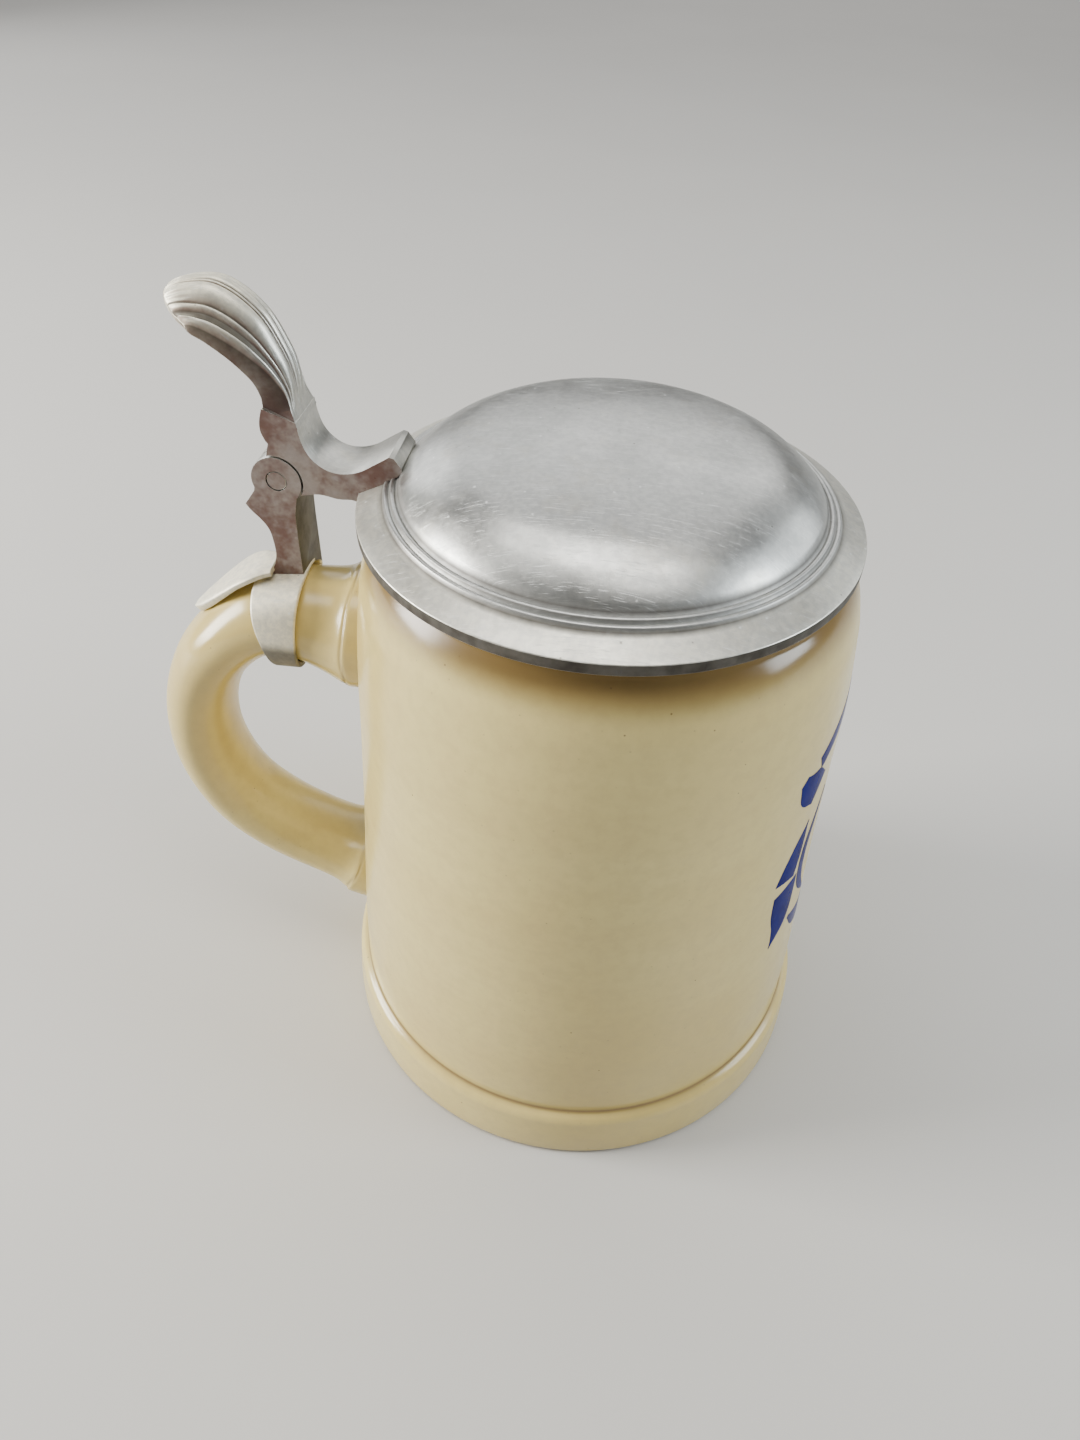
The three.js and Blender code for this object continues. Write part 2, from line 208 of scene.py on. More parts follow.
def turned(profile, sides, x0=0.0):
    """Points and faces of an outline of (radius, height) turned about the Z axis."""
    profile = np.asarray(profile, float)
    angles = np.linspace(0, 2 * math.pi, sides, endpoint=False)
    x = profile[:, :1] * np.cos(angles) + x0
    y = profile[:, :1] * np.sin(angles)
    z = np.repeat(profile[:, 1:], sides, axis=1)
    return np.stack([x, y, z], -1).reshape(-1, 3), grid_faces(len(profile), sides)


def tube(rings):
    """Points and faces of a tube through rings of points, with both ends closed."""
    rows, cols, _ = rings.shape
    faces = grid_faces(rows, cols)
    faces.append(tuple(range(cols)))
    faces.append(tuple(reversed(range((rows - 1) * cols, rows * cols))))
    return rings.reshape(-1, 3), faces


def plate(outline, y0, y1):
    """Points and faces of an upright plate with an outline of (distance from axis, height)."""
    n = len(outline)
    near = [(-u, y0, z) for u, z in outline]
    far = [(-u, y1, z) for u, z in outline]
    faces = [tuple(range(n)), tuple(reversed(range(n, 2 * n)))]
    faces += [(i, (i + 1) % n, n + (i + 1) % n, n + i) for i in range(n)]
    return near + far, faces


def cross_bar(radius, y0, y1, sides=96):
    """Points and faces of a round bar along the hinge's axis."""
    circle = arc(0, 0, radius, 0, 360 - 360 / sides, sides - 1)
    outline = [(-PIN_X + a, PIN_Z + b) for a, b in circle]
    return plate(outline, y0, y1)


def applied(obj):
    """Bakes the object's modifiers into its mesh."""
    graph = bpy.context.evaluated_depsgraph_get()
    graph.update()
    mesh = bpy.data.meshes.new_from_object(obj.evaluated_get(graph))
    obj.modifiers.clear()
    obj.data = mesh
    return obj


def carve(obj, operation, *solids):
    """Joins solids to obj, or cuts them from it."""
    for points, faces in solids:
        tool = new_object("tool", mesh_from("tool", points, faces))
        cut = obj.modifiers.new("cut", "BOOLEAN")
        cut.operation = operation
        cut.solver = "EXACT"
        cut.object = tool
        applied(obj)
        bpy.data.objects.remove(tool)
    return obj


def rounded(obj, width):
    """Rounds the edges; the big flat sides stay flat, so no shading runs across them."""
    bevel = obj.modifiers.new("edges", "BEVEL")
    bevel.width = width * MM
    bevel.segments = BEVEL_STEPS
    bevel.limit_method = "ANGLE"
    bevel.angle_limit = math.radians(BEVEL_ANGLE)
    bevel.use_clamp_overlap = True
    applied(obj)
    finish_shading(obj.data, SHARP_ANGLE)
    for face in obj.data.polygons:
        if abs(face.normal.y) > 0.9999:
            face.use_smooth = False
    return obj


def mark(obj, name, value):
    """Gives each point a number for the materials, from its x and z in mm."""
    values = [float(value(v.co.x / MM, v.co.z / MM)) for v in obj.data.vertices]
    obj.data.attributes.new(name, "FLOAT", "POINT").data.foreach_set("value", values)
    return obj


def place(obj, body, slot, material, *nodes):
    """Puts a finished piece on its body, in place of the CAD nodes it stands for."""
    obj.data.materials.clear()
    obj.data.materials.append(material)
    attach(obj, body)
    if nodes:
        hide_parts(*nodes)


# ------------------------------------------------------------------ material helpers


class Shader:
    """A material's node tree with a Principled shader, built node by node."""

    def __init__(self, name):
        self.material = bpy.data.materials.new(name)
        self.material.use_nodes = True
        self.tree = self.material.node_tree
        self.bsdf = self.tree.nodes["Principled BSDF"]
        where = self.add("ShaderNodeTexCoord")
        self.coords, self.normals = where.outputs["Object"], where.outputs["Normal"]

    def add(self, kind, settings=None, **inputs):
        """A new node; inputs are named, or i0, i1 and so on by their place."""
        made = self.tree.nodes.new(kind)
        for key, value in (settings or {}).items():
            setattr(made, key, value)
        for key, value in inputs.items():
            by_place = key[0] == "i" and key[1:].isdigit()
            self.feed(made.inputs[int(key[1:]) if by_place else key], value)
        return made

    def feed(self, socket, value):
        if isinstance(value, bpy.types.NodeSocket):
            self.tree.links.new(value, socket)
        else:
            socket.default_value = value

    def set(self, **inputs):
        for key, value in inputs.items():
            self.feed(self.bsdf.inputs[key.replace("_", " ")], value)

    def noise(self, scale, detail=2.0, rough=0.5, vector=None):
        made = self.add("ShaderNodeTexNoise", Vector=vector or self.coords, Scale=scale, Detail=detail,
                        Roughness=rough)
        return made.outputs["Fac"]

    def math(self, operation, a, b=0.0):
        return self.add("ShaderNodeMath", {"operation": operation}, i0=a, i1=b).outputs[0]

    def ramp(self, value, low, high, out_low=0.0, out_high=1.0):
        """value mapped smoothly from low..high to out_low..out_high."""
        made = self.add("ShaderNodeMapRange", {"interpolation_type": "SMOOTHSTEP"}, Value=value)
        limits = {"From Min": low, "From Max": high, "To Min": out_low, "To Max": out_high}
        for key, number in limits.items():
            made.inputs[key].default_value = number
        return made.outputs["Result"]

    def mix(self, factor, a, b):
        """Colour a where factor is 0, b where it is 1."""
        return self.add("ShaderNodeMix", {"data_type": "RGBA"}, i0=factor, i6=a, i7=b).outputs[2]

    def layer(self, colour, cover, strength, over):
        """colour with another over it, where cover is 1, at a strength."""
        return self.mix(self.math("MULTIPLY", cover, strength), colour, over)

    def attribute(self, name):
        return self.add("ShaderNodeAttribute", {"attribute_name": name}).outputs["Fac"]

    def stretched(self, scale, turn=(0, 0, 0)):
        return self.add("ShaderNodeMapping", Vector=self.coords, Rotation=turn, Scale=scale).outputs[0]

    def spots(self, scale, size, share):
        """Round spots: 1 at their middles, 0 outside; share is how many of the cells have one."""
        cells = self.add("ShaderNodeTexVoronoi", Vector=self.coords, Scale=scale, Randomness=1.0)
        spot = self.ramp(cells.outputs["Distance"], size, size * 0.3)
        pick = self.add("ShaderNodeSeparateColor", Color=cells.outputs["Color"]).outputs[0]
        return self.math("MULTIPLY", spot, self.math("LESS_THAN", pick, share))

    def bump(self, height, strength, distance, normal=None):
        made = self.add("ShaderNodeBump", Height=height, Strength=strength, Distance=distance * MM)
        if normal:
            self.feed(made.inputs["Normal"], normal)
        return made.outputs["Normal"]


def rgb(r, g, b):
    """An sRGB colour from 0 to 255 as linear RGBA."""
    shares = (r / 255, g / 255, b / 255)
    linear = [c / 12.92 if c <= 0.04045 else ((c + 0.055) / 1.055) ** 2.4 for c in shares]
    return (*linear, 1.0)


# ------------------------------------------------------------------ materials


def glaze_surface(s, colour):
    """The ripple and pin holes that the glaze has, over the print as well."""
    pin_holes = s.spots(330, 0.075, 0.16)
    peel = s.bump(s.noise(190, 2, 0.45), 0.07, 0.25)
    ripple = s.bump(s.noise(45, 2, 0.5), 0.10, 0.5, peel)
    s.set(Normal=s.bump(s.math("SUBTRACT", 1.0, pin_holes), 0.25, 0.06, ripple))
    s.set(Base_Color=s.layer(colour, pin_holes, 0.8, rgb(104, 84, 56)))
    s.set(Roughness=s.ramp(s.noise(60, 3), 0.3, 0.7, 0.16, 0.26))
    s.set(Specular_IOR_Level=0.55)


def glaze():
    s = Shader("glazed_stoneware")
    broad = s.ramp(s.noise(14, 3), 0.35, 0.68)
    rings = s.ramp(s.noise(22, 3, 0.6, s.stretched((0.25, 0.25, 4))), 0.3, 0.7)
    fine = s.ramp(s.noise(420, 4, 0.6), 0.35, 0.7)
    colour = s.mix(broad, rgb(219, 202, 134), rgb(206, 184, 114))
    colour = s.layer(colour, rings, 0.35, rgb(198, 176, 114))
    colour = s.layer(colour, fine, 0.22, rgb(184, 163, 110))
    colour = s.layer(colour, s.spots(700, 0.16, 0.10), 0.4, rgb(148, 128, 94))
    colour = s.layer(colour, s.spots(160, 0.05, 0.10), 0.6, rgb(120, 98, 66))
    # Painted shade: dark brown in the creases and under the lid's overhang, where the body and the
    # handle are marked for it.
    colour = s.layer(colour, s.attribute("hollow"), 0.85, rgb(104, 76, 42))
    glaze_surface(s, colour)
    return s.material


def scratches(s, scale, turns):
    """Fine lines in several directions, 1 on a line."""
    total = 0.0
    for i, turn in enumerate(turns):
        lines = s.noise(scale + 37 * i, 2, 0.55, s.stretched((1, 34, 1), (0.3 * i, 0, turn)))
        total = s.math("MAXIMUM", total, s.ramp(lines, 0.66, 0.74))
    return total


def pewter(name, light, dark, red_reflection_strength):
    """Worn pewter: cloudy, scratched and pitted, with dirt in its grooves, painted shade where the
    darkening mark is set, and a painted cream reflection where the dulling mark is set.

    The last argument is how much of a painted reddish-brown reflection lies, in blotches, on the faces
    that look along the hinge's pin."""
    s = Shader(name)
    lines = scratches(s, 190, (0.2, 1.3, 2.2, 2.9))
    pits = s.spots(520, 0.12, 0.10)
    flecks = s.math("MAXIMUM", s.spots(300, 0.10, 0.22), s.spots(560, 0.16, 0.22))
    fine = s.ramp(s.noise(950, 3, 0.6), 0.35, 0.65)
    matte, hollow = s.attribute("matte"), s.attribute("hollow")
    sides = s.math("ABSOLUTE", s.add("ShaderNodeSeparateXYZ", Vector=s.normals).outputs["Y"])
    red_reflection_blotches = s.ramp(s.noise(150, 4, 0.7), 0.36, 0.66, red_reflection_strength * 0.62, red_reflection_strength)
    sides = s.math("MULTIPLY", s.ramp(sides, 0.75, 0.98), red_reflection_blotches)
    dirt_and_shade_cover = s.math("MULTIPLY", hollow, s.ramp(s.noise(240, 3, 0.6), 0.3, 0.7, 0.88, 1.0))
    colour = s.mix(s.ramp(s.noise(45, 4, 0.6), 0.3, 0.7), light, dark)
    colour = s.mix(s.ramp(s.noise(130, 4, 0.65), 0.52, 0.75, 0.0, 0.22), colour, rgb(176, 166, 138))
    # Painted reflection: a pale cream where the surface is marked dull.
    colour = s.layer(colour, matte, 0.85, rgb(242, 234, 208))
    colour = s.layer(colour, fine, 0.28, rgb(146, 148, 148))
    colour = s.layer(colour, s.math("MAXIMUM", flecks, lines), 0.5, rgb(238, 240, 240))
    colour = s.layer(colour, pits, 0.6, rgb(104, 100, 92))
    # Painted reflection: a blotchy reddish brown on the faces that look along the hinge's pin.
    colour = s.mix(sides, colour, rgb(92, 50, 38))
    # Dirt in grooves and painted shade, in dark brown.
    colour = s.mix(dirt_and_shade_cover, colour, rgb(46, 39, 30))
    roughness = s.ramp(s.noise(90, 4, 0.65), 0.3, 0.7, 0.29, 0.40)
    for factor, more in ((lines, 0.16), (flecks, 0.16), (sides, 0.15), (matte, 0.14), (dirt_and_shade_cover, 0.20)):
        roughness = s.math("ADD", roughness, s.math("MULTIPLY", factor, more))
    grain = s.bump(s.noise(1500, 3, 0.6), 0.14, 0.05)
    normal = s.bump(s.math("SUBTRACT", 1.0, lines), 0.2, 0.04, grain)
    normal = s.bump(s.math("SUBTRACT", 1.0, pits), 0.35, 0.07, normal)
    dull = s.math("MAXIMUM", s.math("MAXIMUM", sides, dirt_and_shade_cover), s.math("MULTIPLY", matte, 0.8))
    dull = s.math("MAXIMUM", dull, s.math("MULTIPLY", s.math("MAXIMUM", flecks, lines), 0.55))
    metal = s.math("SUBTRACT", 1.0, s.math("MULTIPLY", dull, 0.75))
    s.set(Base_Color=colour, Metallic=metal, Roughness=roughness, Normal=normal)
    return s.material


def wire():
    """Drawn wire, for the pin."""
    s = Shader("hinge_wire")
    drawn = s.noise(300, 2, 0.5, s.stretched((12, 1, 12)))
    s.set(Base_Color=s.mix(drawn, rgb(160, 160, 156), rgb(128, 127, 122)), Metallic=1.0)
    s.set(Roughness=s.ramp(drawn, 0.3, 0.7, 0.25, 0.4), Normal=s.bump(drawn, 0.2, 0.03))
    return s.material


def cobalt():
    """Blue enamel, a little uneven and worn."""
    s = Shader("cobalt_print")
    uneven = s.ramp(s.noise(150, 4, 0.6), 0.3, 0.72)
    worn = s.ramp(s.noise(520, 3, 0.6), 0.66, 0.72, 0.0, 0.35)
    colour = s.mix(uneven, rgb(0, 6, 84), rgb(1, 14, 104))
    glaze_surface(s, s.mix(worn, colour, rgb(30, 46, 120)))
    s.set(Specular_IOR_Level=0.01)
    return s.material


def floor_paint():
    s = Shader("floor_paint")
    s.set(Base_Color=s.mix(s.noise(6, 2), rgb(196, 194, 190), rgb(190, 188, 184)), Roughness=0.75)
    return s.material


GLAZE = glaze()
PEWTER = pewter("pewter", rgb(206, 206, 202), rgb(186, 187, 184), 0.0)
CAST_PEWTER = pewter("cast_pewter", rgb(204, 203, 196), rgb(184, 182, 173), 0.9)
WIRE = wire()
COBALT = cobalt()

# ------------------------------------------------------------------ stoneware body


def wall_outside(step=1.2):
    """The outside from the foot band up to the rim."""
    return smooth(WALL_OUT, step) + smooth([WALL_OUT[-1], *SHOULDER_OUT], 0.6)[1:]


def body_profile():
    foot = [(0, 0.9), (40, 0.9), (42.5, 0.5), (44, 0), (FOOT_R - FOOT_ROUND - 0.6, 0)]
    foot += arc(FOOT_R - FOOT_ROUND, FOOT_ROUND, FOOT_ROUND, -75, 0, 9)
    band = [(FOOT_R, FOOT_ROUND + 1), (50.85, 5), (50.6, 8.5), (FOOT_R_TOP, FOOT_H - FOOT_SHOULDER)]
    foot += smooth(band, 1.2)
    foot += arc(FOOT_R_TOP - FOOT_SHOULDER, FOOT_H - FOOT_SHOULDER, FOOT_SHOULDER, 8, 68, 9)
    foot += smooth([(48.75, 13.25), (48.5, 13.6), (48.38, 14.2), WALL_OUT[0]], 0.2)[:-1]
    rim = arc(RIM_R_OUT - 0.2, RIM_Z - 1.3, 1.3, 20, 90, 6)
    rim += arc(RIM_R_IN + 1.2, RIM_Z - 1.2, 1.2, 95, 180, 8)
    rim += [(RIM_R_IN, RIM_Z - 3), (RIM_R_IN + 0.3, RIM_Z - 5), (RIM_R_IN + 1, RIM_Z - 7.5)]
    inside = [(r - WALL, z) for r, z in smooth(WALL_OUT, 2) if 20 < z < RIM_Z - 10][::-1]
    floor_r = inside[-1][0]
    floor = arc(floor_r - FLOOR_FILLET, FLOOR_Z + FLOOR_FILLET, FLOOR_FILLET, 0, -90, 12)
    return [*foot, *wall_outside(), *rim, *inside, *floor, (20, FLOOR_Z), (0, FLOOR_Z)]


def painted_shade_on_body(r, z):
    """Where the glaze is painted darker brown as shade: in the crease above the foot band, and as a
    painted shadow under the lid's overhang.
    """
    over_foot = math.exp(-((z - 13.7) / 0.5) ** 2) if 48 < r < 49.4 else 0.0
    under_lid = float(smoothstep(z, 112.5, 119.0)) if r > RIM_R_OUT - 0.1 else 0.0
    return max(over_foot, under_lid)


def stoneware_body():
    profile = body_profile()
    points, faces = turned(profile, BODY_SIDES)
    # Painted shade on the body, in the crease above the foot and under the lid.
    hollow = np.repeat([painted_shade_on_body(r, z) for r, z in profile], BODY_SIDES)
    mesh = mesh_from("stoneware_body_glazed", points, faces, hollow=hollow)
    return new_object("stoneware_body_glazed", mesh, 60)


# ------------------------------------------------------------------ printed motif

# Strokes of the motif, as midline points of (distance round the wall, height) and half widths.
# Those of the first list are on one side of its middle and are repeated on the other.
SIDE_STROKES = [
    ([(-24.7, 63.0), (-24.5, 58.0), (-24.4, 52.5), (-26.9, 46.8)], (4.0, 3.9, 2.8, 0.1)),
    ([(-2.0, 40.8), (-9.0, 42.0), (-15.0, 45.0), (-20.0, 49.5)], (0.8, 1.9, 2.2, 0.4)),
    ([(-25.8, 65.2), (-24.5, 69.0), (-23.0, 73.2), (-21.0, 77.8)], (3.6, 3.1, 1.9, 0.1)),
    ([(-11.5, 49.5), (-17.0, 57.0), (-19.0, 64.0), (-18.3, 71.0), (-13.5, 80.0)],
     (0.3, 1.1, 1.3, 1.2, 0.3)),
    ([(-27.4, 91.6), (-24.6, 88.6), (-20.2, 85.2)], (1.2, 3.7, 3.2))]
RIBBON = (
    [(-22.2, 92.4), (-12.0, 96.8), (0, 98.4), (12.0, 96.8), (22.2, 92.4)],
    (1.8, 2.0, 2.3, 2.0, 1.8))
BUD = ([(0, 40.0), (0, 44.0), (0, 50.5)], (0.2, 1.9, 0.2))
PETALS, ROSETTE_Z = 8, 66.0
PETAL_REACH, PETAL_HALVES = (2.6, 5.8, 8.6), (0.5, 1.7, 0.3)
PRINT_PROUD, PRINT_DEEP, PRINT_R = 0.05, 0.12, 45.0


def on_wall(a, z, height):
    """Points a mm round the wall from the middle of the motif, at a height over the glaze."""
    wall = np.array(wall_outside(0.8))
    radius = np.interp(z, wall[:, 1], wall[:, 0]) + height
    return np.stack([radius * np.cos(a / PRINT_R), radius * np.sin(a / PRINT_R), z], -1)


def stroke(midline, halves):
    """Points and faces of one flat stroke, as a thin closed plate bent round the wall."""
    curve = Curve(midline)
    t = np.linspace(0, 1, 49)
    middle, along = curve.at(t)[:, None, :], curve.along(t)[:, None, :]
    across = np.linspace(-1, 1, 9)
    s = np.concatenate([across, across[::-1]])[None, :]
    height = np.repeat([PRINT_PROUD, -PRINT_DEEP], len(across))[None, :]
    half = s * np.maximum(evenly(halves, t), 0.06)[:, None]
    a = middle[..., 0] - along[..., 1] * half
    z = middle[..., 1] + along[..., 0] * half
    return tube(on_wall(a, z, height))


def motif():
    """A ribbon and leaves round a rosette."""
    strokes = SIDE_STROKES + [([(-a, z) for a, z in line], halves) for line, halves in SIDE_STROKES]
    strokes += [RIBBON, BUD]
    for i in range(PETALS):
        turn = 2 * math.pi * i / PETALS
        line = [(r * math.sin(turn), ROSETTE_Z + r * math.cos(turn)) for r in PETAL_REACH]
        strokes.append((line, PETAL_HALVES))
    points, faces = [], []
    for made, cells in (stroke(*each) for each in strokes):
        faces += [tuple(len(points) + k for k in cell) for cell in cells]
        points += [tuple(p) for p in made]
    return new_object("motif_print", mesh_from("motif_print", points, faces), 30)


# ------------------------------------------------------------------ handle, strap and leaf

handle_curve = Curve(HANDLE_CURVE)


def half_thickness(t):
    """Half the handle's thickness in the plane of its loop."""
    return lerp(HANDLE_A[0], HANDLE_A[1], smoothstep(t, *HANDLE_THINS))


def root_flare(t):
    """How much the handle swells where it meets the wall."""
    top = np.asarray(t) < 0.5
    from_wall = np.minimum(t, 1 - np.asarray(t)) * handle_curve.length - ROOT_LENGTH
    flare = np.where(top, ROOT_FLARES[0], ROOT_FLARES[1])
    fade = np.where(top, ROOT_FADES[0], ROOT_FADES[1])
    return flare * np.exp(-np.maximum(from_wall, 0) / fade)


def on_handle(across, out, t, grow=0.0):
    """Points on the handle's oval section at t, enlarged by grow."""
    centre, along = handle_curve.at(t), handle_curve.along(t)
    size = grow + root_flare(t)
    rise = out * (half_thickness(t) + size)
    x = -(centre[..., 0] - along[..., 1] * rise)
    y = -across * (HANDLE_B + size)
    z = centre[..., 1] + along[..., 0] * rise
    c, s = math.cos(HANDLE_YAW), math.sin(HANDLE_YAW)
    return np.stack([x * c - y * s, x * s + y * c, z + 0 * x], -1)


def along_at(u):
    """The handle's t at a distance u from the body's axis, on its upper arm."""
    t = np.linspace(0, 0.5, 2000)
    return float(np.interp(u, handle_curve.at(t)[:, 0], t))


def handle():
    """The handle, with a shallow crease where the clay of its roots was smoothed on to the wall."""
    near_root = np.linspace(ROOT_LENGTH - 1, ROOT_LENGTH + 4, 26) / handle_curve.length
    t = np.unique(np.concatenate([np.linspace(0, 1, 200), near_root, 1 - near_root]))[:, None]
    angle = np.linspace(0, 2 * math.pi, 112, endpoint=False)[None, :]
    from_wall = np.minimum(t, 1 - t) * handle_curve.length - ROOT_LENGTH
    wavy = CREASE_AT + 0.25 * np.sin(3 * angle) + 0.12 * np.sin(7 * angle + 1)
    crease = np.exp(-((from_wall - wavy) / 0.42) ** 2)
    points, faces = tube(on_handle(np.cos(angle), np.sin(angle), t, -CREASE_DEPTH * crease))
    # The crease is also painted a little darker, as shade.
    obj = new_object("handle_glazed", mesh_from("handle_glazed", points, faces, hollow=0.4 * crease))
    under_glaze = [(r - 1.5, z) for r, z in wall_outside(4)]
    cutter = turned([(0, 5), (under_glaze[0][0], 5), *under_glaze, (0, under_glaze[-1][1])], 160)
    carve(obj, "DIFFERENCE", cutter)
    finish_shading(obj.data, 40)
    return obj


def loop_outline(half_width, thickness, radius, steps=4):
    """A rounded rectangle of (along, height), for a band's section."""
    corners = [
        (half_width - radius, thickness - radius, 0), (-half_width + radius, thickness - radius, 90),
        (-half_width + radius, radius, 180), (half_width - radius, radius, 270)]
    return [p for a, b, start in corners for p in arc(a, b, radius, start, start + 90, steps)]


def in_handle_plane(u, across, z):
    """Points at a distance u from the body's axis, turned askew with the handle."""
    c, s = math.cos(HANDLE_YAW), math.sin(HANDLE_YAW)
    return np.stack([-u * c + across * s, -u * s - across * c, z + 0 * u], -1)


def strap():
    """A bent band, flat on top, that hangs a little away from the handle below its outer edge."""
    middle = along_at(STRAP_U)
    section = np.array(loop_outline(STRAP_W / 2, STRAP_T, 0.3))
    angle = np.linspace(0, 2 * math.pi, 240, endpoint=False)[:, None]
    c, s = np.cos(angle), np.sin(angle)
    power = np.where(s > 0, 2 / STRAP_SQUARE[0], 2 / STRAP_SQUARE[1])
    across, out = np.sign(c) * np.abs(c) ** power, np.sign(s) * np.abs(s) ** power
    along, height = section[:, 0][None, :], section[:, 1][None, :]
    sag = STRAP_SAG * smoothstep(-out, 0, 1) * (0.5 + along / STRAP_W)
    points = on_handle(across, out, middle + along / handle_curve.length, GAP - 0.2 + height + sag)
    rows, cols, _ = points.shape
    mesh = mesh_from("strap_band", points.reshape(-1, 3), grid_faces(rows, cols, close_rows=True))
    # The whole band is dulled and painted a pale cream, a painted reflection.
    obj = mark(new_object("strap_band", mesh), "matte", lambda x, z: 1)
    # The band is painted darker towards its lower end.
    darker_from, darkest_below = STRAP_DARKER_Z
    return mark(obj, "hollow", lambda x, z: 0.8 * smoothstep(-z, -darker_from, -darkest_below))


leaf_curve = Curve(LEAF_CURVE)


def strap_leaf():
    """The flat leaf that starts at the post's foot and reaches out over the handle."""
    t = np.linspace(0, 1, 90)[:, None]
    section = np.array(loop_outline(1, 1, 0.24, 6))
    x, y = section[:, 0][None, :], section[:, 1][None, :]
    x = np.sign(x) * np.abs(x) ** 0.8
    half = evenly(LEAF_HALF, t) * np.sqrt(1 - 0.75 * t**16)
    centre, along = leaf_curve.at(t[:, 0])[:, None, :], leaf_curve.along(t[:, 0])[:, None, :]
    rise = (y - 1) * evenly(LEAF_T, t) - 0.4 * x * x
    u = centre[..., 0] - along[..., 1] * rise
    z = centre[..., 1] + along[..., 0] * rise
    mesh = mesh_from("strap_leaf", *tube(in_handle_plane(u, x * half, z)))
    # The whole leaf is dulled and painted a pale cream, a painted reflection.
    return mark(new_object("strap_leaf", mesh), "matte", lambda x, z: 1)


# ------------------------------------------------------------------ lid


def lid_profile():
    """The lid's outline: from the dome's inside, down the spigot, out and over to its middle."""
    flange = arc(LID_R - 0.35, LID_UNDER_Z + 0.35, 0.35, -90, 0, 4)
    flange += arc(LID_R - 0.3, LID_EDGE_Z - 0.3, 0.3, 0, 62, 4)
    for k in (0.25, 0.5, 0.75, 0.97):
        flange.append((lerp(LID_R - 0.3, BEADS[0][0], k), lerp(LID_EDGE_Z, BEADS[0][1], k)))
    beads = arc(36.05, 126.42, 0.44, 15, 150, 8) + arc(34.98, 127.02, 0.42, 25, 160, 8)
    dome = smooth([(34.05, 127.65), *DOME], 0.7)
    inside = [(max(r - 1.2, 0), z - LID_WALL) for r, z in smooth(DOME, 2)][::-1]
    spigot_in = SPIGOT_R - SPIGOT_WALL
    spigot = [(spigot_in, LID_UNDER_Z + 2), (spigot_in, SPIGOT_Z + 0.3), (spigot_in + 0.3, SPIGOT_Z)]
    spigot += [(SPIGOT_R - 0.5, SPIGOT_Z), (SPIGOT_R, SPIGOT_Z + 0.6), (SPIGOT_R, LID_UNDER_Z)]
    return [*inside, *spigot, *flange, *beads, *dome]


def groove_dirt_and_edge_shade(r, z):
    """1 on the flange's lower edge, which is painted dark as shade, and deep in the three grooves
    beside the lid's two beads, where dirt lies.
    """
    if z < BEADS[0][1] - 0.6:
        return 1.0 if r > LID_R - 0.1 and z < LID_EDGE_Z - 0.15 else 0.0
    return max(math.exp(-((r - groove) / wide) ** 2) for groove, wide in LID_GROOVES)


def lid():
    profile = lid_profile()
    points, faces = turned(profile, LID_SIDES, LID_X)
    # Painted shade on the flange's edge, and dirt in the grooves.
    hollow = np.repeat([groove_dirt_and_edge_shade(r, z) for r, z in profile], LID_SIDES)
    # Outside the beads the flange is dulled a little and painted lighter cream, a painted reflection.
    matte = np.repeat([0.35 if r > BEADS[0][0] + 0.05 else 0.0 for r, _ in profile], LID_SIDES)
    return new_object("lid_spun", mesh_from("lid_spun", points, faces, hollow=hollow, matte=matte), 50)


def lid_cutter(grow=0.02):
    """The lid's outside as a solid, a little enlarged, which fits the tang to the lid."""
    outline = [(0, LID_UNDER_Z - 2), (LID_R + grow, LID_UNDER_Z - 2), (LID_R + grow, LID_EDGE_Z)]
    outline += [(LID_R - 0.3, LID_EDGE_Z + grow), (BEADS[0][0], BEADS[0][1] + grow)]
    outline += [(35.4, 127.1), (34.3, 127.7)]
    dome = [(r + grow, z + grow) for r, z in smooth(DOME, 2)]
    return turned([*outline, *dome[:-1], (0, dome[-1][1])], 200, LID_X)


# ------------------------------------------------------------------ hinge

TANG_TOP = [(34.1, 129.2), (35.2, 130.8), (36.0, 131.0)]
TANG_SADDLE = [
    (36.0, 131.0), (38.2, 129.6), (41.0, 127.9), (43.7, 127.2), (46.0, 127.4), (48.0, 128.5),
    (49.4, 130.2), (50.2, 132.4), LIFT_SEAT[0]]
TANG_BACK = [LIFT_SEAT[1], (56.5, 135.0), (56.6, 133.3), (56.1, 131.8), (55.7, 131.2)]
TANG_UNDER = [(51.4, 122.4), (48.2, 123.0), (45.0, 122.5), (42.6, 122.6), (40.5, 121.8)]
POST_FRONT = [(53.0, 98), (53.0, 114), (52.9, 118.5), (52.3, 121.4), (52.3, PIN_Z)]
POST_BACK = [
    (61.3, 119.8), (60.4, 118.5), (59.0, 117.0), (57.9, 115.2),
    (57.5, 113), (57.4, 110.5), (57.9, 108.3), (58.6, 107)]


def tang():
    """The cast arm from the lid to the knuckle, with the seat of the thumblift."""
    outline = TANG_TOP[:-1] + smooth(TANG_SADDLE, 0.5) + smooth(TANG_BACK, 0.5)
    outline += [(56.3, 129.0), (-PIN_X, PIN_Z)] + smooth(TANG_UNDER, 0.8) + [(34.1, 125)]
    mesh = mesh_from("lid_tang_cast", *plate(outline, -HINGE_HALF, HINGE_HALF))
    obj = new_object("lid_tang_cast", mesh)
    carve(obj, "DIFFERENCE", cross_bar(POCKET_R, KNUCKLE_HALF, HINGE_HALF + 1))
    carve(obj, "DIFFERENCE", cross_bar(POCKET_R, -HINGE_HALF - 1, -KNUCKLE_HALF))
    carve(obj, "UNION", cross_bar(EAR_R, -KNUCKLE_HALF, KNUCKLE_HALF))
    carve(obj, "DIFFERENCE", cross_bar(BORE_R, -HINGE_HALF, HINGE_HALF), lid_cutter())
    return rounded(obj, TANG_BEVEL)


